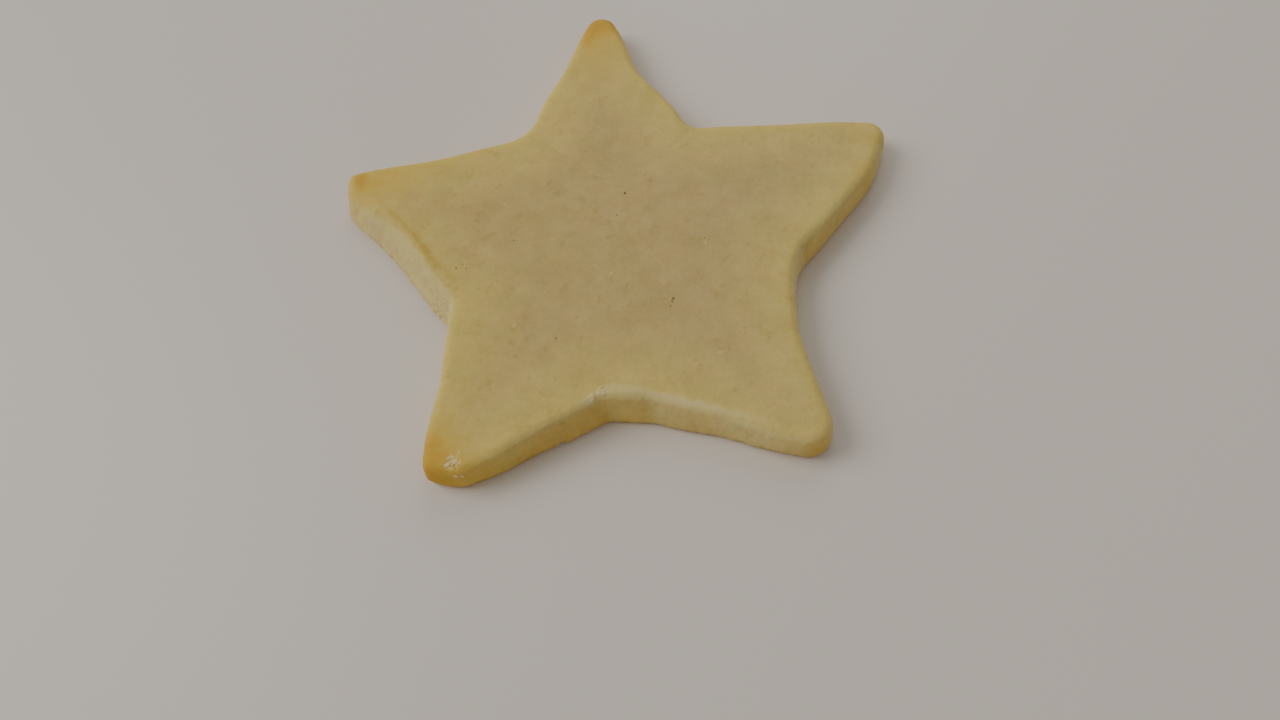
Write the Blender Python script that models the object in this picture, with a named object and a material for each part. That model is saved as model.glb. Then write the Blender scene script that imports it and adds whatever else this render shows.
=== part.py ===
# Star-cut butter cookie: one baked piece of dough, lying on its flat underside.
# Lengths in the tables are millimetres and are turned into metres as the mesh is made.
# The far tip points along +Y, +Z is up, and the origin is under the middle of the cookie.

from math import acos, atan2, ceil, cos, hypot, pi, radians, sin, tan

import bmesh
import bpy

MILLIMETRE = 0.001

# Thickness of the baked dough
MIDDLE_THICKNESS = 6.3   # rolled a quarter of an inch thick
TIP_REACH = 45.0         # middle to the end of the longest tip
TIP_FALL = 1.6           # the top has sunk this much by the tips
SWELL = 0.10             # slow unevenness of the top
SWELL_WAVES = (37.0, 48.0, 19.0)   # lengths of its waves

# Section of the edge, from the underside up
FOOT_SETBACK = 0.60      # the underside stops short of the widest line
FOOT_HEIGHT = 0.70       # where the wall is widest
FOOT_BEND = 0.29         # share of both at the ring that rounds the foot
RIM_ROUNDING = 1.45
WALL_RINGS = 4
RIM_RINGS = 5
TOP_SCALES = (0.94, 0.88, 0.81, 0.71, 0.58, 0.40)   # rings across the top, as shares of the rim

# Slanted wall beside the left tip, where the cutter leaned over. The wall slides over as it
# rises: along each cut, the share of the cut, the slide at the top, and the rim's rounding.
SLANT_HEADING = 38.0     # the way it is slid, in degrees from +X
SLANTED_RIM = {
    "left tip, far corner": ((0.0, 0.0, RIM_ROUNDING), (1.0, 0.4, 1.8)),
    "left tip, near corner": ((0.0, 1.6, 2.1), (0.45, 3.2, 0.7), (0.8, 2.9, 0.7), (1.0, 2.3, 0.9)),
    "left notch": ((0.0, 0.9, 1.1), (0.3, 0.0, RIM_ROUNDING)),
}

# Outline, counter-clockwise from the far tip. Each corner is where two cuts would meet:
# its reach from the middle and its bearing from +X in degrees, the radius that rounds
# it, how far the wall leans in there, and how far the cut after it bows out, sways and
# ripples.
CORNERS = {
    "far tip": (50.9, 90.35, 2.8, 0.3, -0.1, -0.1, 0.15),
    "far left notch": (24.8, 122.8, 4.9, 0.5, -0.4, -0.2, 0.15),
    "left tip, far corner": (45.4, 156.4, 1.1, 0.4, 0.2, 0.0, 0.0),
    "left tip, near corner": (44.4, 163.8, 5.0, 0.4, -0.35, -0.2, 0.1),
    "left notch": (27.3, 202.0, 2.8, 0.5, -0.4, -0.3, 0.15),
    "near left tip, far corner": (43.8, 230.3, 1.8, 0.4, 0.1, 0.0, 0.0),
    "near left tip, near corner": (41.4, 237.7, 2.9, 0.4, 0.1, 0.1, 0.1),
    "near notch, left corner": (27.7, 263.8, 0.8, 1.3, 0.0, 0.0, 0.0),
    "near notch, right corner": (28.4, 275.7, 4.0, 1.3, -0.1, -0.1, 0.15),
    "near right tip": (45.7, 306.3, 3.6, 0.3, -0.85, 0.2, 0.0),
    "right notch": (26.0, 340.3, 9.5, 0.6, 1.3, -0.3, 0.1),
    "right tip": (47.9, 20.8, 3.0, 0.3, 0.0, 0.0, 0.1),
    "far right notch": (23.1, 56.4, 2.4, 0.5, -1.0, 0.1, 0.4),
}
ARC_STEP = 15.0          # degrees between the points of a rounded corner
CUT_STEP = 1.9           # spacing of the points along a cut
SMOOTH_BELOW = 50.0      # edges that turn less than this are shaded smooth

DOUGH_COLOUR = (0.62, 0.47, 0.22, 1.0)
DOUGH_ROUGHNESS = 0.75


def clear_scene():
    """Start from an empty scene."""
    for item in list(bpy.data.objects):
        bpy.data.objects.remove(item, do_unlink=True)


def rounded_corner(before, corner, after, radius):
    """Arc that rounds one corner: its centre, its two tangent points, and its bulge."""
    to_before = (before[0] - corner[0], before[1] - corner[1])
    to_after = (after[0] - corner[0], after[1] - corner[1])
    length_before, length_after = hypot(*to_before), hypot(*to_after)
    ux, uy = to_before[0] / length_before, to_before[1] / length_before
    vx, vy = to_after[0] / length_after, to_after[1] / length_after
    half = 0.5 * acos(ux * vx + uy * vy)
    cut = radius / tan(half)
    middle = hypot(ux + vx, uy + vy)
    depth = radius / sin(half) / middle
    centre = (corner[0] + (ux + vx) * depth, corner[1] + (uy + vy) * depth)
    start = (corner[0] + ux * cut, corner[1] + uy * cut)
    end = (corner[0] + vx * cut, corner[1] + vy * cut)
    bulges_out = uy * vx - ux * vy > 0
    return centre, start, end, bulges_out


def outline():
    """Points round the widest line, each with its wall's lean, its rim's slide and rounding."""
    rows = list(CORNERS.values())
    sharp = [(row[0] * cos(radians(row[1])), row[0] * sin(radians(row[1]))) for row in rows]
    count = len(sharp)
    arcs = []
    for i in range(count):
        arcs.append(rounded_corner(sharp[i - 1], sharp[i], sharp[(i + 1) % count], rows[i][2]))

    names = list(CORNERS)
    points, walls = [], []
    for i, name in enumerate(names):
        radius, lean, bow, sway, ripple = rows[i][2:]
        next_lean = rows[(i + 1) % count][3]
        centre, start, end, bulges_out = arcs[i]
        first = atan2(start[1] - centre[1], start[0] - centre[0])
        last = atan2(end[1] - centre[1], end[0] - centre[0])
        turn = (last - first) % (2 * pi) if bulges_out else -((first - last) % (2 * pi))
        before, after = rim_form(names[i - 1], 1.0), rim_form(name, 0.0)
        steps = max(2, ceil(abs(turn) / radians(ARC_STEP)))
        for j in range(steps + 1):
            angle = first + turn * j / steps
            points.append((centre[0] + radius * cos(angle), centre[1] + radius * sin(angle)))
            walls.append((lean, *between(before, after, j / steps)))

        target = arcs[(i + 1) % count][1]
        run = hypot(target[0] - end[0], target[1] - end[1])
        out_x, out_y = (target[1] - end[1]) / run, (end[0] - target[0]) / run
        steps = max(2, round(run / CUT_STEP))
        for j in range(1, steps):
            share = j / steps
            push = 4 * bow * share * (1 - share)
            push += sway * sin(2 * pi * share) + ripple * sin(3 * pi * share)
            points.append((end[0] + (target[0] - end[0]) * share + out_x * push,
                           end[1] + (target[1] - end[1]) * share + out_y * push))
            walls.append((lean + (next_lean - lean) * share, *rim_form(name, share)))
    return points, walls


def between(first, last, share):
    """A pair of values, part of the way from one pair to another."""
    return [a + (b - a) * share for a, b in zip(first, last)]


def rim_form(name, share):
    """How far the rim is slid over at one place along a cut, and its rounding there."""
    stations = SLANTED_RIM.get(name, ((0.0, 0.0, RIM_ROUNDING), (1.0, 0.0, RIM_ROUNDING)))
    for first, last in zip(stations, stations[1:]):
        if share <= last[0]:
            passed = (share - first[0]) / (last[0] - first[0])
            return between(first[1:], last[1:], passed * passed * (3 - 2 * passed))
    return stations[-1][1:]


def outward(points):
    """Unit directions square to the outline, pointing away from the dough."""
    count = len(points)
    result = []
    for i in range(count):
        back, ahead = points[i - 1], points[(i + 1) % count]
        dx, dy = ahead[0] - back[0], ahead[1] - back[1]
        length = hypot(dx, dy)
        result.append((dy / length, -dx / length))
    return result


def top_height(x, y):
    """Height of the top: thickest in the middle, lower at the tips, slowly uneven."""
    fall = TIP_FALL * (x * x + y * y) / TIP_REACH ** 2
    wide, deep, short = (2 * pi / wave for wave in SWELL_WAVES)
    swell = SWELL * (sin(wide * x) * cos(deep * y) + 0.5 * sin(short * (y - x)))
    return MIDDLE_THICKNESS - fall + swell


def edge_section(lean, rounding):
    """The edge's rings at one point: kind, setback, level, and room kept for the rim."""
    rings = [("foot", FOOT_SETBACK, 0.0, 0.0)]
    rings.append(("foot", FOOT_BEND * FOOT_SETBACK, FOOT_BEND * FOOT_HEIGHT, 0.0))
    for k in range(WALL_RINGS):
        share = k / WALL_RINGS
        rings.append(("wall", lean * share, share, rounding))
    for k in range(RIM_RINGS + 1):
        angle = 0.5 * pi * k / RIM_RINGS
        rings.append(("rim", lean + rounding * (1 - cos(angle)), rounding * (1 - sin(angle)), 0.0))
    return rings


def ring_point(point, normal, slide, entry):
    """One point of the edge: set back from the outline, and slid over where the wall slants."""
    kind, setback, level, rim_room = entry
    x, y = point[0] - normal[0] * setback, point[1] - normal[1] * setback
    if kind == "foot":
        return x, y, level
    height = top_height(x, y) - FOOT_HEIGHT
    share = level * (1 - rim_room / height) if kind == "wall" else 1 - level / height
    x += slide * share * cos(radians(SLANT_HEADING))
    y += slide * share * sin(radians(SLANT_HEADING))
    if kind == "rim":
        return x, y, top_height(x, y) - level
    return x, y, FOOT_HEIGHT + (top_height(x, y) - rim_room - FOOT_HEIGHT) * level


def cookie_rings():
    """All rings of points, from the underside's edge up and over the rim to the middle."""
    points, walls = outline()
    normals = outward(points)
    low = [min(p[k] for p in points) for k in (0, 1)]
    high = [max(p[k] for p in points) for k in (0, 1)]
    shift = [-(a + b) / 2 for a, b in zip(low, high)]
    sections = [edge_section(lean, rounding) for lean, _, rounding in walls]
    rings = []
    for level in range(len(sections[0])):
        ring = []
        for point, normal, wall, section in zip(points, normals, walls, sections):
            ring.append(ring_point(point, normal, wall[1], section[level]))
        rings.append(ring)
    rim = rings[-1]
    for scale in TOP_SCALES:
        ring = []
        for x, y, _ in rim:
            ring.append((x * scale, y * scale, top_height(x * scale, y * scale)))
        rings.append(ring)
    return rings, shift


def build_cookie():
    """The cookie as one closed body: rings bridged from the underside to the middle."""
    rings, shift = cookie_rings()
    bm = bmesh.new()
    loops = []
    for ring in rings:
        loop = []
        for x, y, z in ring:
            place = (x + shift[0], y + shift[1], z)
            loop.append(bm.verts.new([value * MILLIMETRE for value in place]))
        loops.append(loop)
    count = len(loops[0])
    for lower, upper in zip(loops, loops[1:]):
        for i in range(count):
            j = (i + 1) % count
            bm.faces.new((lower[i], lower[j], upper[j], upper[i]))
    place = (shift[0], shift[1], top_height(0, 0))
    middle = bm.verts.new([value * MILLIMETRE for value in place])
    for i in range(count):
        bm.faces.new((loops[-1][i], loops[-1][(i + 1) % count], middle))
    bm.faces.new(list(reversed(loops[0])))
    bmesh.ops.recalc_face_normals(bm, faces=bm.faces)
    mesh = bpy.data.meshes.new("star_cookie")
    bm.to_mesh(mesh)
    bm.free()
    mesh.shade_smooth()
    mesh.set_sharp_from_angle(angle=radians(SMOOTH_BELOW))
    cookie = bpy.data.objects.new("star_cookie", mesh)
    bpy.context.collection.objects.link(cookie)
    return cookie


def dough_material():
    """Pale baked butter dough, dry and matt."""
    material = bpy.data.materials.new("baked_butter_dough")
    material.use_nodes = True
    shader = material.node_tree.nodes["Principled BSDF"]
    shader.inputs["Base Color"].default_value = DOUGH_COLOUR
    shader.inputs["Roughness"].default_value = DOUGH_ROUGHNESS
    shader.inputs["Metallic"].default_value = 0.0
    return material


clear_scene()
star_cookie = build_cookie()
star_cookie.data.materials.append(dough_material())
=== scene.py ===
# A star-shaped butter cookie lying on a pale table, seen from above and a little in front.
# Lengths in the dictionaries are millimetres, angles are degrees, and places are in the
# part's own frame: the far tip points along +y and the underside lies at z = 0.

from math import radians

import bmesh
import bpy
import numpy as np
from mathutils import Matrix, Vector, kdtree, noise


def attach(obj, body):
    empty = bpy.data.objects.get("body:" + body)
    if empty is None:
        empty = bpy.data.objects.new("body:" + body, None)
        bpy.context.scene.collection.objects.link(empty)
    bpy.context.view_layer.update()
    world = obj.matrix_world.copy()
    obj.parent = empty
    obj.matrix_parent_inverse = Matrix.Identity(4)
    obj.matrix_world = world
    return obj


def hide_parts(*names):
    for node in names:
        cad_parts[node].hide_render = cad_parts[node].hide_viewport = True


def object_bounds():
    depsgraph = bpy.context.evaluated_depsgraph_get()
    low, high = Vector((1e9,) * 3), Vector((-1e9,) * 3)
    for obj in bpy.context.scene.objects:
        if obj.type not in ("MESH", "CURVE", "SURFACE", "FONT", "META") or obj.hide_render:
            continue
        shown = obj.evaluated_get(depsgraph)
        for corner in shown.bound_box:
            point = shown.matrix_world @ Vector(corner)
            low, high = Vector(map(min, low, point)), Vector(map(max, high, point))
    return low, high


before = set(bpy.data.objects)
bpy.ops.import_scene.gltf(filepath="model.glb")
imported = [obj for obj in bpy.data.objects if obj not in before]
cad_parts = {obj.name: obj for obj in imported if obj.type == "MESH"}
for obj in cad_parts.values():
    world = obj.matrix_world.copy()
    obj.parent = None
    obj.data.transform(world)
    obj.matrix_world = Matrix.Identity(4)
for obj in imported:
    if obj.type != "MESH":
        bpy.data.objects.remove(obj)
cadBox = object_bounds()

millimetre = 0.001


def linearColour(hexText):
    # sRGB hex to the linear values that a shader socket holds
    channels = []
    for start in (0, 2, 4):
        value = int(hexText[start:start + 2], 16) / 255
        channels.append(value / 12.92 if value <= 0.04045 else ((value + 0.055) / 1.055) ** 2.4)
    return (*channels, 1.0)


def addNode(tree, kind, inputs=None, output=None, **settings):
    # an input is a plain value, or the output of another node that feeds it
    node = tree.nodes.new(kind)
    for name, value in settings.items():
        setattr(node, name, value)
    for name, value in (inputs or {}).items():
        if isinstance(value, bpy.types.NodeSocket):
            tree.links.new(value, node.inputs[name])
        else:
            node.inputs[name].default_value = value
    return node if output is None else node.outputs[output]


def newMaterial(name):
    material = bpy.data.materials.new(name)
    material.use_nodes = True
    return material, material.node_tree, material.node_tree.nodes["Principled BSDF"]


def newObject(name, mesh):
    item = bpy.data.objects.new(name, mesh)
    bpy.context.collection.objects.link(item)
    return item


def smoothStep(low, high, values):
    share = np.clip((values - low) / (high - low), 0.0, 1.0)
    return share * share * (3 - 2 * share)


# Each pattern is cut from a place of its own in the noise, so that no two run together:
# the place and the number of octaves
noisePatterns = {
    "puff": (3.0, 2), "grain": (7.0, 3), "dragMarks": (11.0, 2), "footCrumble": (17.0, 3),
    "footWaves": (41.0, 2), "lipWaver": (23.0, 2), "lipCrest": (29.0, 2),
    "lipPatches": (37.0, 2), "raggedness": (31.0, 3), "chipLumps": (43.0, 2),
    "paintedRimHighlight": (47.0, 2),
}


def unevenness(points, pattern, size):
    # smooth random values of about -1 to 1, with waves that are size mm long, and finer
    # octaves over them that are each half as long and half as strong
    place, octaves = noisePatterns[pattern]
    offset = Vector((place, place * 1.7, place * 0.6))
    return np.array([noise.fractal(Vector(point) / size + offset, 1.0, 2.0, octaves)
                     for point in points])


def readVectors(items, name):
    values = np.empty(len(items) * 3)
    items.foreach_get(name, values)
    return values.reshape(-1, 3)


# The camera stands where the photograph was taken from

camera = {
    "place": (7.91, -82.73, 110.6),
    "turn": (27.80, 5.01, -3.78),
    "focalLength": 895,      # in pixels of the photograph
    "imageWidth": 1280,      # in pixels as well
    "sensorWidth": 36.0,
    "clipStart": 5.0,
}


def makeCamera():
    data = bpy.data.cameras.new("camera")
    data.sensor_width = camera["sensorWidth"]
    data.lens = camera["sensorWidth"] * camera["focalLength"] / camera["imageWidth"]
    data.clip_start = camera["clipStart"] * millimetre
    item = newObject("camera", data)
    item.location = [value * millimetre for value in camera["place"]]
    item.rotation_euler = [radians(angle) for angle in camera["turn"]]
    bpy.context.scene.camera = item


makeCamera()
print("camera placed")


# The cookie's shape: an even, fine copy of the CAD solid's surface, with the baker's marks

cookie = {
    "meshStep": 0.33,            # spacing of the points that carry the relief
    "weldGap": 0.001,            # points of the solid's faces that are nearer than this are one
    "smoothing": (5, 0.5),       # rounds and strength, against steps from the even mesh
    "topSlopes": (0.5, 0.9),     # how far up a point faces where the top starts, and is full
    "wallSlope": 0.35,           # a point that faces up or down less than this is on the wall
    "puff": (0.05, 9.0),         # height and length of the slow waves on the top
    "grain": (0.016, 1.1),       # height and size of the fine crumb
    "grainUnder": 0.5,           # share of it that the tray left on the underside
    "dragMarks": (0.045, 0.9, 7.0),   # depth, width and length of the cutter's marks
    "dragInset": 0.4,            # share of their depth by which they lie further in
    "footCrumble": (0.45, 1.4),  # depth and size of the ragged foot
    "footReach": (0.3, 1.6),     # it is full below the first height, and ends at the second
    "footWaves": (0.30, 5.5),    # depth and length of its slower waves
    "footInset": 0.5,            # share of that depth by which they lie further in
}

# Where the cutter dragged the dough up into a thin lip, along the left arm's near edge:
# places along its browned inner side, each with how strongly it stands up there
lip = {
    "line": ((-38.0, 8.6, 4.95, 0.0), (-36.8, 7.2, 5.05, 0.18), (-35.3, 5.3, 5.2, 0.28),
             (-34.2, 3.5, 5.4, 0.35), (-33.3, 2.4, 5.4, 0.60),
             (-31.8, 0.7, 5.5, 0.45), (-30.8, -0.6, 5.55, 0.60), (-29.8, -1.9, 5.6, 0.65),
             (-28.8, -3.5, 5.7, 0.85), (-27.8, -4.8, 5.8, 1.0), (-27.1, -6.3, 5.8, 0.80),
             (-26.3, -7.6, 5.9, 0.75), (-25.1, -8.9, 5.9, 0.55), (-24.0, -10.1, 5.9, 0.40),
             (-23.1, -11.5, 5.9, 0.18), (-22.8, -12.4, 5.9, 0.0)),
    "crestShift": (-0.22, -0.17),    # from the browned line out to the crest
    "height": 0.20,
    "heightShares": (0.7, 0.5),      # how much of it is sure, and how much comes and goes
    "crestLength": 1.6,              # in waves of this length
    "highestLift": 0.9,
    "lowestPlace": 3.5,              # nothing below this height is lifted
    "fullStrength": 1.6,             # the ridge is whole well before the brown is
    "width": 0.45,
    "bandWidth": 0.62,
    "waver": (0.28, 2.0),            # how far it wavers sideways, and over what length
    "patchiness": (0.55, 1.5),       # how much the brown comes and goes, and its length
}

# Broken places: the middle, the reach, how deep the dough is gone (below 0 it stands up),
# and how pale it shows
chips = {
    "near notch": ((-3.1, -30.9, 5.75), 0.80, -0.10, 0.53),
    "near notch, lower": ((-4.1, -31.5, 5.6), 0.65, -0.10, 0.53),
    "near left tip": ((-22.8, -38.2, 5.0), 1.15, 0.10, 0.82),
    "near left tip, lower": ((-23.1, -39.2, 4.8), 0.75, 0.08, 0.78),
    "near left tip, grain": ((-22.7, -40.0, 3.9), 0.50, 0.05, 0.74),
    "near left tip, last grain": ((-21.8, -40.1, 3.9), 0.45, 0.05, 0.74),
    "left notch wall": ((-26.4, -13.9, 1.9), 2.3, 0.10, 0.12),
    "near left foot": ((-9.0, -36.1, 0.6), 1.2, 0.25, 0.30),
}
brokenDough = {
    "lumps": (0.11, 0.42),       # height and size of the crumbs that still hold on
    "raggedSize": 0.8,
    "raggedShare": 0.65,         # how far the edge of a chip strays, as a share of its reach
    "core": 0.45,                # share of the reach that is broken through
    "paleness": (0.65, 1.3),     # of the flat parts, and how much the lumps add
    "palenessRange": (0.25, 1.0),
    "meshReach": 1.3,            # the mesh is divided again this far round, in reaches
}

# Pale floury specks on the top: place and radius
paleSpecks = (
    (12.9, -9.4, 0.24), (-0.7, -12.9, 0.26), (-14.5, -19.6, 0.24), (13.1, -26.8, 0.30),
    (-21.6, -8.0, 0.55), (-5.2, -0.3, 0.80), (-10.1, 4.3, 0.60), (-15.9, 1.5, 0.22),
)
speckLook = {
    "height": 0.03,
    "edge": (0.4, 1.3),          # where a speck starts to fade, and ends, in radii
    "ragged": 0.35,              # how far its edge strays, in radii
    "paleness": 0.09,            # over the radius, so the wide ones are fainter
    "smallest": 0.22,
}

# Rubbed rim of the near notch, where the pale crumb shows as a thin line: places along it,
# each with how strongly it was rubbed there
rubbedRim = {
    "line": ((-6.5, -32.7, 5.6, 0.0), (-4.6, -31.9, 5.5, 0.45), (-3.1, -31.0, 5.7, 0.53),
             (-2.2, -30.6, 5.8, 0.53), (-1.2, -30.5, 5.8, 0.40), (2.3, -31.2, 5.7, 0.32),
             (5.0, -32.5, 5.6, 0.45), (8.5, -33.6, 5.5, 0.50), (12.2, -35.0, 5.4, 0.42),
             (17.1, -36.8, 5.2, 0.15), (21.0, -38.6, 5.0, 0.0)),
    "width": 0.95,
    "core": 0.1,                 # share of the width that is rubbed right through
    "ragged": 0.30,              # how far its edge strays
}

# Painted highlight on the rounded rims that face the near side: paler than the top, most of all
# in the near notch
rimHighlight = {
    "middle": (2.6, -31.4),
    "reach": 8.5,
    "elsewhere": 0.35,           # strength away from the notch
    "roundedFrom": (0.35, 0.75),     # how far up the rim's rounding faces where this starts
    "roundedTo": (0.95, 0.995),      # and where the flat top ends it
    "nearSide": (-0.45, 0.35),       # how far towards +y it may face
    "clearOfLip": (1.5, 5.0),        # it starts this far from the lip, and is full
    "patches": (0.8, 0.9, 3.0),      # mean strength, how much it comes and goes, and length
    "strongest": 1.3,
}

# Pinholes where steam came out: place, radius and depth
pinholes = (
    (2.1, 0.95, 0.17, 0.34), (0.7, -2.9, 0.14, 0.14), (-14.5, -5.3, 0.15, 0.14),
    (7.7, -17.9, 0.17, 0.26), (7.45, -18.35, 0.15, 0.20), (7.2, -19.1, 0.13, 0.12),
    (-8.7, -22.3, 0.17, 0.20), (-22.0, -8.5, 0.18, 0.15), (-22.9, -9.0, 0.14, 0.12),
    (-21.4, -9.3, 0.13, 0.10), (-8.4, 2.4, 0.12, 0.09), (12.9, -8.6, 0.12, 0.09),
    (24.8, 3.9, 0.13, 0.09),
)
pinholeLook = {
    "edge": (0.35, 1.25),        # where a pinhole's side starts, and ends, in radii
    "ragged": 0.8,               # how far its edge strays, in radii
    # the depth at which a pinhole's painted shade is darkest
    "darkestDepth": 0.34,
    "meshReach": 0.75,           # the mesh is divided again this near one
    "facingUp": 0.7,             # where it faces up at least this much
}


def evenCopy(nodeName):
    # the CAD solid's surface again, as an even mesh that is fine enough to carry relief
    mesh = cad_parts[nodeName].data.copy()
    body = bmesh.new()
    body.from_mesh(mesh)
    bmesh.ops.remove_doubles(body, verts=body.verts, dist=cookie["weldGap"] * millimetre)
    body.to_mesh(mesh)
    body.free()
    item = newObject("starCookie", mesh)
    remesh = item.modifiers.new("even mesh", "REMESH")
    remesh.mode = "VOXEL"
    remesh.voxel_size = cookie["meshStep"] * millimetre
    remesh.use_smooth_shade = True
    smooth = item.modifiers.new("no steps", "SMOOTH")
    smooth.iterations, smooth.factor = cookie["smoothing"]
    graph = bpy.context.evaluated_depsgraph_get()
    item.data = bpy.data.meshes.new_from_object(item.evaluated_get(graph))
    item.modifiers.clear()
    item.data.materials.clear()
    item.data.name = "starCookie"
    return item


def refineAtMarks(mesh):
    # a finer mesh where pinholes, specks and chips are smaller than its faces
    body = bmesh.new()
    body.from_mesh(mesh)
    reach = pinholeLook["meshReach"] * millimetre
    marks = [(x * millimetre, y * millimetre) for x, y, *_ in pinholes + paleSpecks]
    broken = [(Vector(middle) * millimetre, brokenDough["meshReach"] * size * millimetre)
              for middle, size, *_ in chips.values()]
    near = set()
    for face in body.faces:
        middle = face.calc_center_median()
        onTop = face.normal.z > pinholeLook["facingUp"]
        if (onTop and any(max(abs(middle.x - x), abs(middle.y - y)) < reach for x, y in marks)
                or any((middle - place).length < size for place, size in broken)):
            near.update(face.edges)
    bmesh.ops.subdivide_edges(body, edges=list(near), cuts=2, use_grid_fill=True)
    bmesh.ops.triangulate(body, faces=[face for face in body.faces if len(face.verts) > 4])
    body.to_mesh(mesh)
    body.free()


def nearLine(points, line, fromAbove=False):
    # how far each point is from a line through several places, and the line's height and
    # strength at its nearest place
    seen = (1.0, 1.0, 0.0) if fromAbove else (1.0, 1.0, 1.0)
    nearest = np.full(len(points), np.inf)
    level, strength = np.zeros(len(points)), np.zeros(len(points))
    for first, second in zip(line, line[1:]):
        start, along = np.multiply(first[:3], seen), np.subtract(second[:3], first[:3]) * seen
        ahead = points * seen - start
        share = np.clip(ahead @ along / (along @ along), 0.0, 1.0)
        gap = np.linalg.norm(ahead - share[:, None] * along, axis=1)
        closer = gap < nearest
        level = np.where(closer, first[2] + (second[2] - first[2]) * share, level)
        strength = np.where(closer, first[3] + (second[3] - first[3]) * share, strength)
        nearest = np.where(closer, gap, nearest)
    return nearest, level, strength


def rimDistance(points, normals):
    # how far in from the edge each point is, seen from above
    onWall = np.nonzero(np.abs(normals[:, 2]) < cookie["wallSlope"])[0]
    wall = kdtree.KDTree(len(onWall))
    for index in onWall:
        wall.insert((points[index, 0], points[index, 1], 0.0), int(index))
    wall.balance()
    return np.array([wall.find((x, y, 0.0))[2] for x, y, _ in points])


def storeShare(mesh, name, values):
    attribute = mesh.attributes.new(name, "FLOAT", "POINT")
    attribute.data.foreach_set("value", values.astype(np.float32))


def keepInCadBox(mesh):
    # relief never reaches past the CAD solid's own box
    points = readVectors(mesh.vertices, "co")
    points = np.clip(points, np.array(cadBox[0]), np.array(cadBox[1]))
    mesh.vertices.foreach_set("co", points.ravel())
    mesh.update()


def doughRelief(points, top, under, wall):
    # how far the dough stands out along its normals: waves, grain, drag marks, ragged foot
    puffHeight, puffSize = cookie["puff"]
    push = top * puffHeight * unevenness(points, "puff", puffSize) - top * puffHeight
    grainHeight, grainSize = cookie["grain"]
    grain = grainHeight * unevenness(points, "grain", grainSize)
    push += grain * (1 - (1 - cookie["grainUnder"]) * under)

    markDepth, markWidth, markLength = cookie["dragMarks"]
    squeezed = points * (1.0, 1.0, markWidth / markLength)
    marks = unevenness(squeezed, "dragMarks", markWidth)
    push += wall * markDepth * (marks - cookie["dragInset"])

    footShare = wall * (1 - smoothStep(*cookie["footReach"], points[:, 2]))
    crumbleDepth, crumbleSize = cookie["footCrumble"]
    crumble = np.abs(unevenness(points, "footCrumble", crumbleSize))
    push -= footShare * crumbleDepth * crumble
    waveDepth, waveLength = cookie["footWaves"]
    waves = unevenness(points, "footWaves", waveLength)
    push += footShare * waveDepth * (waves - cookie["footInset"])
    return push


def raiseLip(points):
    # the lip stands up, wavers from side to side, and browned in patches
    waverWidth, waverLength = lip["waver"]
    wobble = waverWidth * unevenness(points, "lipWaver", waverLength)
    shifted = points - (*lip["crestShift"], 0.0)
    gap, level, strength = nearLine(shifted, lip["line"], True)
    whole = np.minimum(1.0, lip["fullStrength"] * strength)
    ridge = whole * np.exp(-((gap + wobble) / lip["width"]) ** 2)
    sure, changing = lip["heightShares"]
    crest = level + lip["height"] * (
        sure + changing * unevenness(points, "lipCrest", lip["crestLength"]))
    lift = ridge * np.clip(crest - points[:, 2], 0.0, lip["highestLift"])
    lift *= points[:, 2] > lip["lowestPlace"]

    bandGap, _, bandStrength = nearLine(points, lip["line"])
    patchDepth, patchLength = lip["patchiness"]
    patches = 1 + patchDepth * unevenness(points, "lipPatches", patchLength)
    browned = bandStrength * patches * np.exp(-((bandGap + wobble) / lip["bandWidth"]) ** 2)
    return lift, browned, bandGap


def breakDough(points, push, ragged):
    # chips are shallow hollows with crumbs left standing in them: push is changed for those,
    # and the values returned say how pale they and the rubbed rim show
    paleCrumb = np.zeros(len(points))
    lumpHeight, lumpSize = brokenDough["lumps"]
    lumps = lumpHeight * unevenness(points, "chipLumps", lumpSize)
    flatPaleness, lumpPaleness = brokenDough["paleness"]
    broken = np.clip(flatPaleness + lumpPaleness * lumps / lumpHeight,
                     *brokenDough["palenessRange"])
    for middle, reach, depth, paleness in chips.values():
        gap = np.linalg.norm(points - np.array(middle), axis=1)
        gap += brokenDough["raggedShare"] * reach * ragged
        share = 1 - smoothStep(brokenDough["core"] * reach, reach, gap)
        push += share * (lumps - depth)
        paleCrumb = np.maximum(paleCrumb, paleness * share * broken)

    gap, _, strength = nearLine(points, rubbedRim["line"])
    gap = gap + rubbedRim["ragged"] * ragged
    width = rubbedRim["width"]
    rubbed = strength * (1 - smoothStep(rubbedRim["core"] * width, width, gap))
    return np.maximum(paleCrumb, rubbed)


def markShare(points, top, ragged, mark, look):
    # how much each point of the top belongs to a pinhole or speck
    x, y, radius = mark[:3]
    first, last = look["edge"]
    gap = np.hypot(points[:, 0] - x, points[:, 1] - y) + look["ragged"] * radius * ragged
    return (1 - smoothStep(first * radius, last * radius, gap)) * top


def rimHighlightShare(points, normals, lipGap):
    # the rounding of the rim where it faces the near side, which gets a painted highlight
    sideways = np.hypot(normals[:, 0], normals[:, 1])
    facing = normals[:, 1] / np.maximum(sideways, 1e-6)
    rounded = smoothStep(*rimHighlight["roundedFrom"], normals[:, 2])
    rounded *= 1 - smoothStep(*rimHighlight["roundedTo"], normals[:, 2])
    notchGap = np.linalg.norm(points[:, :2] - np.array(rimHighlight["middle"]), axis=1)
    atNotch = np.exp(-(notchGap / rimHighlight["reach"]) ** 2)
    share = rounded * (1 - smoothStep(*rimHighlight["nearSide"], facing))
    share *= smoothStep(*rimHighlight["clearOfLip"], lipGap)
    share *= rimHighlight["elsewhere"] + (1 - rimHighlight["elsewhere"]) * atNotch
    mean, changing, length = rimHighlight["patches"]
    patches = mean + changing * unevenness(points, "paintedRimHighlight", length)
    return share * np.clip(patches, 0.0, rimHighlight["strongest"])


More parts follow.
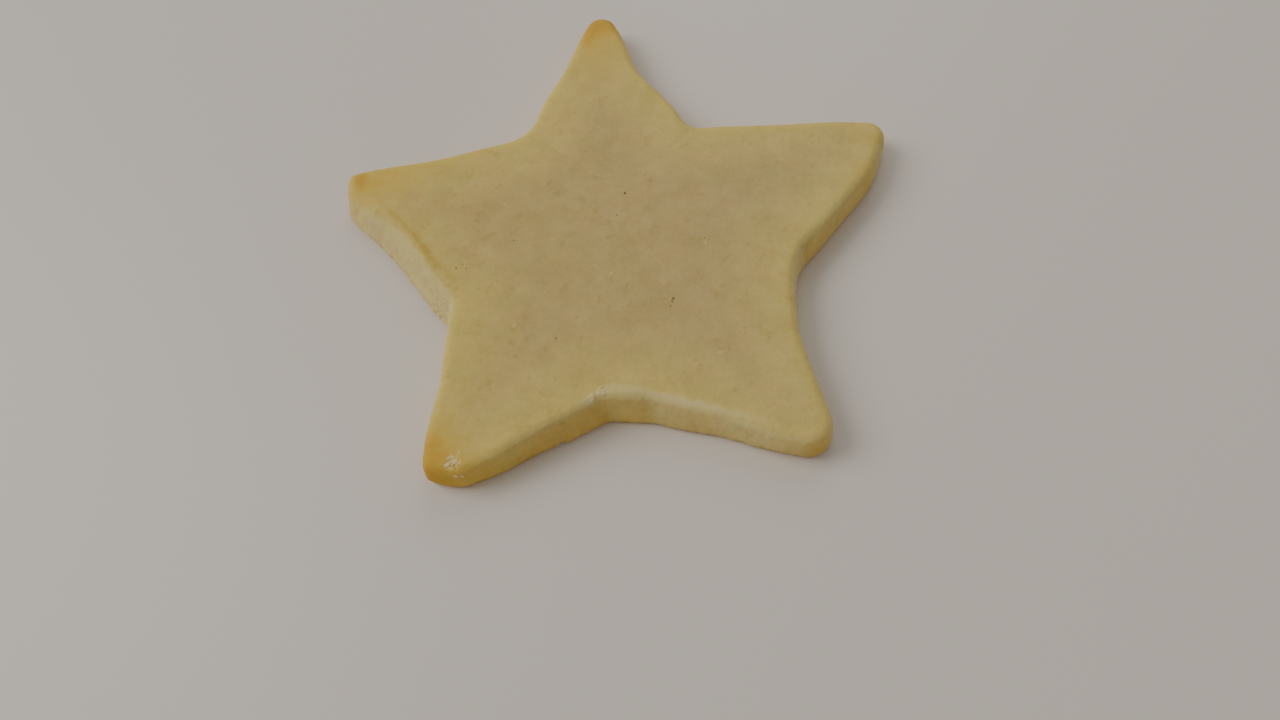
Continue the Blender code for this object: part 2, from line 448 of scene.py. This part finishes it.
def shapeCookie(item):
    mesh = item.data
    points = readVectors(mesh.vertices, "co") / millimetre
    normals = readVectors(mesh.vertices, "normal")
    inset = rimDistance(points, normals)
    top = smoothStep(*cookie["topSlopes"], normals[:, 2])
    under = smoothStep(*cookie["topSlopes"], -normals[:, 2])
    wall = (1 - top) * (1 - under)
    ragged = unevenness(points, "raggedness", brokenDough["raggedSize"])

    push = doughRelief(points, top, under, wall)
    lift, lipBrowned, lipGap = raiseLip(points)
    crumb = breakDough(points, push, ragged)
    for speck in paleSpecks:
        share = markShare(points, top, ragged, speck, speckLook)
        lift += speckLook["height"] * share
        paleness = speckLook["paleness"] / max(speck[2], speckLook["smallest"])
        crumb = np.maximum(crumb, share * paleness)
    # painted shade inside the pinholes, darker where they are deeper
    pinholeShade = np.zeros(len(points))
    for pinhole in pinholes:
        depth = pinhole[3]
        share = markShare(points, top, ragged, pinhole, pinholeLook)
        push -= depth * share
        pinholeShade = np.maximum(pinholeShade, share * depth / pinholeLook["darkestDepth"])
    # painted highlight on the rims that face the near side
    paintedRimHighlight = rimHighlightShare(points, normals, lipGap)

    points += normals * push[:, None]
    points[:, 2] += lift
    mesh.vertices.foreach_set("co", (points * millimetre).ravel())
    shares = {
        "inset": inset, "wall": wall, "under": under, "lip": lipBrowned, "paintedRimHighlight": paintedRimHighlight,
        "crumb": crumb, "pinholeShade": np.clip(pinholeShade, 0, 1),
        "browned": brownedShare(points) * (1 - (1 - brownedUnder) * under),
        # painted shade with golden bounce light on the walls that face the near side
        "paintedWallShade": paintedWallShadeShare(points, normals) * wall,
    }
    for name, values in shares.items():
        storeShare(mesh, name, values)
    keepInCadBox(mesh)


# Where the oven coloured the dough: place from above, reach along x and y, and strength
browning = {
    "near left tip": ((-26.2, -38.3), (3.4, 4.6), 1.12),
    "near left tip, near wall": ((-20.8, -39.8), (3.8, 2.6), 0.36),
    "near left tip, fading": ((-24.6, -34.5), (4.2, 6.0), 0.12),
    "far tip": ((0.1, 39.8), (3.7, 3.3), 0.90),
    "far tip, left side": ((-1.8, 37.6), (1.7, 2.7), 0.55),
    "far tip, left spot": ((-2.7, 34.2), (1.2, 2.2), 0.18),
    "far tip, right side": ((2.2, 37.2), (1.4, 2.0), 0.33),
    "far tip, fading": ((-1.0, 35.0), (5.5, 8.5), 0.40),
    "left tip": ((-38.9, 10.0), (1.0, 1.8), 0.82),
    "left tip, fading": ((-36.0, 9.2), (6.5, 4.2), 0.48),
    "left arm, far rim": ((-28.0, 12.2), (8.0, 2.2), 0.20),
    "right tip": ((40.5, 8.3), (4.5, 3.0), 0.22),
    "right arm, far rim": ((24.0, 11.2), (9.0, 2.2), 0.13),
    "right arm, near wall": ((38.5, 0.0), (3.6, 3.6), 0.28),
    "near right tip": ((24.5, -40.0), (3.5, 3.5), 0.12),
}
brownest = 1.2               # the most that places which overlap come to
brownedUnder = 0.25          # share of it that reached the underside

# Painted shade with golden bounce light on the cut walls, by the way they face, in degrees from
# +x; it is deepest by the foot
paintedWallShadeByFacing = {
    "facing": -72.0,
    "spread": 54.0,
    "fullWithin": 0.25,      # share of the spread in which the painted shade is full
    "least": 0.12,
    "atTop": 0.72,           # share of it that is left by the rim
    "fading": (1.0, 5.0),    # heights between which it fades to that
}


def brownedShare(points):
    total = np.zeros(len(points))
    for (x, y), (reachX, reachY), strength in browning.values():
        gap = ((points[:, 0] - x) / reachX) ** 2 + ((points[:, 1] - y) / reachY) ** 2
        total += strength * np.exp(-gap)
    return np.clip(total, 0.0, brownest)


# painted shade on the walls, by the way they face, deepest towards the foot
def paintedWallShadeShare(points, normals):
    heading = np.degrees(np.arctan2(normals[:, 1], normals[:, 0]))
    turned = np.abs((heading - paintedWallShadeByFacing["facing"] + 180) % 360 - 180)
    turnedShare = smoothStep(paintedWallShadeByFacing["fullWithin"], 1.0, turned / paintedWallShadeByFacing["spread"])
    faded = smoothStep(*paintedWallShadeByFacing["fading"], points[:, 2])
    least, atTop = paintedWallShadeByFacing["least"], paintedWallShadeByFacing["atTop"]
    return (least + (1 - least) * (1 - turnedShare)) * (atTop + (1 - atTop) * (1 - faded))


starCookie = evenCopy("star_cookie")
refineAtMarks(starCookie.data)
shapeCookie(starCookie)
print("cookie shaped:", len(starCookie.data.vertices), "points")


# Baked butter dough: fine wheat flour and butter, rolled flat, cut and baked pale. It is dry
# and matt, beige in the middle, yellower towards the rims where it baked first, and amber at
# the tips.

dough = {
    "middle": "D8BD7E",
    "rim": "ECD37C",
    "rimReach": 12.0,            # how far in from the edge the yellow goes
    "rimWander": 6.0,            # and how much that wanders
    "edge": "F3D977",
    "edgeReach": 2.2,            # the outermost band, yellower still
    "paintedWarmLight": "FFFDED",        # painted light: the left half is tinted warmer than the right, for the warmer light that falls on that side
    "paintedWarmLightReach": 24.0,
    "wall": "F7E4A0",
    # colour of the painted golden shade on the walls that face the near side
    "goldenWallShade": "EAC768",
    "streak": "FBFAF7",          # where the cutter dragged along the wall
    "streakSize": 0.5,
    "streakStretch": 0.17,
    "wallPatch": "FBF9F5",
    # colour of the painted highlight on the rims that face the near side
    "paintedRimHighlight": "E4D39E",
    "under": "CFA45E",
    "darker": "F4F4F2",          # this and the next four tint the dough in patches
    "finer": "F9F8F7",
    "yellower": "FDFCF5",
    "pinker": "FFF9FA",
    "greener": "FAFEFA",
    "smudge": "F5F3EE",          # small darker spots, here and there
    "firstBrown": "E1BB52",
    "deepBrown": "D8A93B",
    "lipBrown": "CDAB4A",
    "freshCrumb": "F6E3A6",
    # colour of the painted shade inside the pinholes
    "pinholeShade": "7F6A40",
    "patchSizes": {"darker": 3.4, "finer": 0.8, "yellower": 5.5, "pinker": 2.6,
                   "greener": 4.6, "wallPatch": 2.5, "mottle": 1.6},
    "patchRange": (0.34, 0.66),  # noise values where a patch starts, and is full
    "patchDetail": (3.0, 0.6),   # octaves and roughness of the patches and the grain
    "multiplying": ("paintedWarmLight", "streak", "wallPatch", "darker", "finer", "yellower",
                    "pinker", "greener", "smudge"),
    "roughness": (0.66, 0.80),
    "roughnessRange": (0.3, 0.7),    # noise values that give these two
    "ior": 1.45,
    "specular": 0.35,
    "grainSize": 0.45,           # crumb of fine flour, drawn as coarse as it needs to show
    "grainHeight": 0.09,
    "grainStrength": 0.6,
}


def patternScale(size):
    # a noise texture's scale for waves of that many millimetres
    return 1.0 / (size * millimetre)


def makeDough(name, look):
    material, tree, shader = newMaterial(name)
    place = addNode(tree, "ShaderNodeTexCoord", output="Object")
    sideways = addNode(tree, "ShaderNodeSeparateXYZ", {"Vector": place}, "X")
    share = {}
    for stored in ("inset", "wall", "paintedWallShade", "under", "paintedRimHighlight", "browned", "lip", "crumb",
                   "pinholeShade"):
        share[stored] = addNode(tree, "ShaderNodeAttribute", output="Fac",
                                attribute_name=stored)
    detail, detailRoughness = look["patchDetail"]
    evenNoise = {"Vector": place, "Detail": detail, "Roughness": detailRoughness}
    patch = {}
    for tone, size in look["patchSizes"].items():
        patch[tone] = addNode(tree, "ShaderNodeTexNoise",
                              {**evenNoise, "Scale": patternScale(size)}, "Fac")

    # drag marks run up the wall, so their pattern is stretched along z
    upward = addNode(tree, "ShaderNodeMapping",
                     {"Vector": place, "Scale": (1.0, 1.0, look["streakStretch"])}, "Vector")
    dragged = addNode(tree, "ShaderNodeTexNoise",
                      {"Vector": upward, "Scale": patternScale(look["streakSize"])}, "Fac")
    onWall = {}
    for tone, source in (("streak", dragged), ("wallPatch", patch["wallPatch"])):
        onWall[tone] = addNode(tree, "ShaderNodeMath", {0: source, 1: share["wall"]}, "Value",
                               operation="MULTIPLY")
    wander = look["rimWander"]
    wandering = addNode(tree, "ShaderNodeMath", {0: patch["yellower"], 1: wander,
                        2: share["inset"]}, "Value", operation="MULTIPLY_ADD")
    uneven = addNode(tree, "ShaderNodeMath", {0: patch["mottle"], 1: 0.5}, "Value")  # about 1
    browned = addNode(tree, "ShaderNodeMath", {0: share["browned"], 1: uneven}, "Value",
                      operation="MULTIPLY")

    # Each tone goes over the ones before it: what it follows, the values there at which it
    # starts and is full, and how strong it then is
    sideReach = look["paintedWarmLightReach"] * millimetre
    first, last = look["patchRange"]
    tones = (
        ("rim", wandering, look["rimReach"] + wander / 2, wander / 2, 1.0),
        ("edge", share["inset"], look["edgeReach"], 0.0, 0.8),
        # painted warmer light over the left half
        ("paintedWarmLight", sideways, sideReach, -sideReach, 1.0),
        ("wall", share["wall"], 0.0, 1.0, 1.0),
        # painted shade with golden bounce light on the near walls
        ("goldenWallShade", share["paintedWallShade"], 0.0, 1.0, 1.0),
        ("streak", onWall["streak"], 0.35, 0.62, 1.0),
        ("wallPatch", onWall["wallPatch"], 0.38, 0.62, 1.0),
        # painted highlight on the rims that face the near side
        ("paintedRimHighlight", share["paintedRimHighlight"], 0.0, 1.0, 0.45),
        ("under", share["under"], 0.0, 1.0, 0.8),
        ("darker", patch["darker"], first, last, 1.0),
        ("finer", patch["finer"], first, last, 1.0),
        ("yellower", patch["yellower"], first, last, 1.0),
        ("pinker", patch["pinker"], first, last, 1.0),
        ("greener", patch["greener"], first, last, 1.0),
        ("smudge", patch["mottle"], 0.60, 0.72, 1.0),
        ("firstBrown", browned, 0.04, 0.60, 1.0),
        ("deepBrown", browned, 0.45, 1.10, 1.0),
        ("lipBrown", share["lip"], 0.05, 0.95, 1.0),
        ("freshCrumb", share["crumb"], 0.0, 1.0, 1.0),
        # painted shade inside the pinholes
        ("pinholeShade", share["pinholeShade"], 0.0, 1.0, 1.0),
    )
    colour = linearColour(look["middle"])
    for tone, source, start, full, strength in tones:
        factor = addNode(tree, "ShaderNodeMapRange", {"Value": source, "From Min": start,
                         "From Max": full, "To Max": strength}, "Result")
        way = "MULTIPLY" if tone in look["multiplying"] else "MIX"
        colour = addNode(tree, "ShaderNodeMix", {0: factor, 6: colour,
                         7: linearColour(look[tone])}, 2, data_type="RGBA", blend_type=way)
    tree.links.new(colour, shader.inputs["Base Color"])

    grain = addNode(tree, "ShaderNodeTexNoise",
                    {**evenNoise, "Scale": patternScale(look["grainSize"])}, "Fac")
    relief = addNode(tree, "ShaderNodeBump",
                     {"Height": grain, "Strength": look["grainStrength"],
                      "Distance": look["grainHeight"] * millimetre}, "Normal")
    tree.links.new(relief, shader.inputs["Normal"])
    smoothest, roughest = look["roughness"]
    low, high = look["roughnessRange"]
    matt = addNode(tree, "ShaderNodeMapRange", {"Value": patch["mottle"], "From Min": low,
                   "From Max": high, "To Min": smoothest, "To Max": roughest}, "Result")
    tree.links.new(matt, shader.inputs["Roughness"])
    shader.inputs["IOR"].default_value = look["ior"]
    shader.inputs["Specular IOR Level"].default_value = look["specular"]
    return material


bakedDough = makeDough("paleBakedButterDough", dough)
starCookie.data.materials.append(bakedDough)
print("dough coloured")


# Loose crumbs on the broken places

crumbs = {
    "size": 0.22,
    "perSquareMillimetre": 4.0,
    "leastShare": 0.54,          # only where the dough is at least this broken
    "seed": 12,
    "flattest": (0.35, 0.35, 0.3),   # shares of the size that a crumb has at least
    "fullest": (1.15, 1.0, 0.8),     # and at most
    "turn": 3.1,                     # either way, in radians
    "lumps": (0.3, 0.35),            # size of the lumps on them, and how far those stand out
    "colours": ("F6D694", "E4BE78"),
    "colourSize": 0.5,
    "roughness": 0.8,
}


def addInput(tree, name, kind, value=None):
    entry = tree.interface.new_socket(name, in_out="INPUT", socket_type=kind)
    if value is not None:
        entry.default_value = value
    return entry.identifier


def crumbTree(material):
    # scatters small ragged grains over the broken dough
    tree = bpy.data.node_groups.new("scattered crumbs", "GeometryNodeTree")
    addInput(tree, "Geometry", "NodeSocketGeometry")
    inputs = {"Crumb size": ("NodeSocketFloat", 0.001), "Density": ("NodeSocketFloat", 100.0),
              "Least share": ("NodeSocketFloat", 0.5), "Seed": ("NodeSocketInt", 1)}
    names = {name: addInput(tree, name, *settings) for name, settings in inputs.items()}
    tree.interface.new_socket("Geometry", in_out="OUTPUT", socket_type="NodeSocketGeometry")
    given = addNode(tree, "NodeGroupInput").outputs

    broken = addNode(tree, "GeometryNodeInputNamedAttribute", {"Name": "crumb"}, "Attribute",
                     data_type="FLOAT")
    enough = addNode(tree, "FunctionNodeCompare", {"A": broken, "B": given["Least share"]},
                     "Result", operation="GREATER_THAN")
    scatter = addNode(tree, "GeometryNodeDistributePointsOnFaces",
                      {"Mesh": given["Geometry"], "Selection": enough,
                       "Density": given["Density"], "Seed": given["Seed"]}, "Points")
    grain = addNode(tree, "GeometryNodeMeshIcoSphere",
                    {"Subdivisions": 2, "Radius": given["Crumb size"]}, "Mesh")
    stretch = addNode(tree, "FunctionNodeRandomValue",
                      {0: crumbs["flattest"], 1: crumbs["fullest"], "Seed": given["Seed"]}, 0,
                      data_type="FLOAT_VECTOR")
    turn = crumbs["turn"]
    spin = addNode(tree, "FunctionNodeRandomValue",
                   {0: (-turn,) * 3, 1: (turn,) * 3, "Seed": given["Seed"]}, 0,
                   data_type="FLOAT_VECTOR")
    placed = addNode(tree, "GeometryNodeInstanceOnPoints",
                     {"Points": scatter, "Instance": grain, "Scale": stretch, "Rotation": spin},
                     "Instances")
    joined = addNode(tree, "GeometryNodeRealizeInstances", {"Geometry": placed}, "Geometry")
    lumpSize, lumpHeight = crumbs["lumps"]
    lumps = addNode(tree, "ShaderNodeTexNoise", {"Scale": patternScale(lumpSize)}, "Color")
    centred = addNode(tree, "ShaderNodeVectorMath", {0: lumps, 1: (0.5, 0.5, 0.5)}, "Vector",
                      operation="SUBTRACT")
    shifted = addNode(tree, "ShaderNodeVectorMath",
                      {0: centred, "Scale": lumpHeight * millimetre}, "Vector",
                      operation="SCALE")
    ragged = addNode(tree, "GeometryNodeSetPosition", {"Geometry": joined, "Offset": shifted},
                     "Geometry")
    finished = addNode(tree, "GeometryNodeSetMaterial",
                       {"Geometry": ragged, "Material": material}, "Geometry")
    addNode(tree, "NodeGroupOutput", {"Geometry": finished})
    return tree, names


def makeCrumbs():
    carrier = newObject("crumbCarrier", starCookie.data.copy())
    modifier = carrier.modifiers.new("crumbs", "NODES")
    modifier.node_group, names = crumbTree(crumbDough)
    modifier[names["Crumb size"]] = crumbs["size"] * millimetre
    modifier[names["Density"]] = crumbs["perSquareMillimetre"] / millimetre ** 2
    modifier[names["Least share"]] = crumbs["leastShare"]
    modifier[names["Seed"]] = crumbs["seed"]
    graph = bpy.context.evaluated_depsgraph_get()
    mesh = bpy.data.meshes.new_from_object(carrier.evaluated_get(graph))
    mesh.name = "looseCrumbs"
    bpy.data.objects.remove(carrier, do_unlink=True)
    keepInCadBox(mesh)
    mesh.shade_smooth()
    return newObject("looseCrumbs", mesh)


def makeCrumbDough():
    # the same dough from inside the cookie: paler, because it never browned
    material, tree, shader = newMaterial("paleInnerCrumb")
    place = addNode(tree, "ShaderNodeTexCoord", output="Object")
    grain = addNode(tree, "ShaderNodeTexNoise",
                    {"Vector": place, "Scale": patternScale(crumbs["colourSize"])}, "Fac")
    paler, darker = [linearColour(hexText) for hexText in crumbs["colours"]]
    colour = addNode(tree, "ShaderNodeMix", {0: grain, 6: paler, 7: darker}, 2,
                     data_type="RGBA")
    tree.links.new(colour, shader.inputs["Base Color"])
    shader.inputs["Roughness"].default_value = crumbs["roughness"]
    return material


crumbDough = makeCrumbDough()
looseCrumbs = makeCrumbs()
print("crumbs scattered:", len(looseCrumbs.data.vertices), "points")


# Table and light

studio = {
    "tableSize": 6000.0,
    "tableColours": ("E7DCCE", "EAE0D3"),
    "tablePatchSize": 140.0,
    "tableRoughness": 0.45,
    "surround": "FFFFFF",
    "surroundStrength": 0.32,
    "windowPlace": (-1600.0, 500.0, 1500.0),
    "windowSize": 1400.0,
    "windowPower": 23.5,
    "lampPlace": (80.0, 380.0, 320.0),
    "lampSize": 260.0,
    "lampPower": 0.28,
}


def makeTable():
    # painted board: smooth and pale, with a faint broad sheen
    material, tree, shader = newMaterial("paleSatinTableTop")
    place = addNode(tree, "ShaderNodeTexCoord", output="Object")
    broad = addNode(tree, "ShaderNodeTexNoise",
                    {"Vector": place, "Scale": patternScale(studio["tablePatchSize"])}, "Fac")
    darker, paler = [linearColour(hexText) for hexText in studio["tableColours"]]
    colour = addNode(tree, "ShaderNodeMix", {0: broad, 6: darker, 7: paler}, 2,
                     data_type="RGBA")
    tree.links.new(colour, shader.inputs["Base Color"])
    shader.inputs["Roughness"].default_value = studio["tableRoughness"]
    half = 0.5 * studio["tableSize"] * millimetre
    mesh = bpy.data.meshes.new("table")
    corners = [(-half, -half, 0), (half, -half, 0), (half, half, 0), (-half, half, 0)]
    mesh.from_pydata(corners, [], [(0, 1, 2, 3)])
    mesh.materials.append(material)
    return newObject("table", mesh)


def makeLight():
    world = bpy.data.worlds.new("room")
    world.use_nodes = True
    background = world.node_tree.nodes["Background"]
    background.inputs["Color"].default_value = linearColour(studio["surround"])
    background.inputs["Strength"].default_value = studio["surroundStrength"]
    bpy.context.scene.world = world
    for name in ("window", "lamp"):      # a wide window on the left, a faint lamp behind
        data = bpy.data.lights.new(name, "AREA")
        data.size = studio[name + "Size"] * millimetre
        data.energy = studio[name + "Power"]
        item = newObject(name, data)
        item.location = [value * millimetre for value in studio[name + "Place"]]
        item.rotation_euler = (-item.location).to_track_quat("-Z", "Y").to_euler()


table = makeTable()
makeLight()
print("table and light set")


# What rides on the frame

for piece in (starCookie, looseCrumbs):
    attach(piece, "root")
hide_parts("star_cookie")
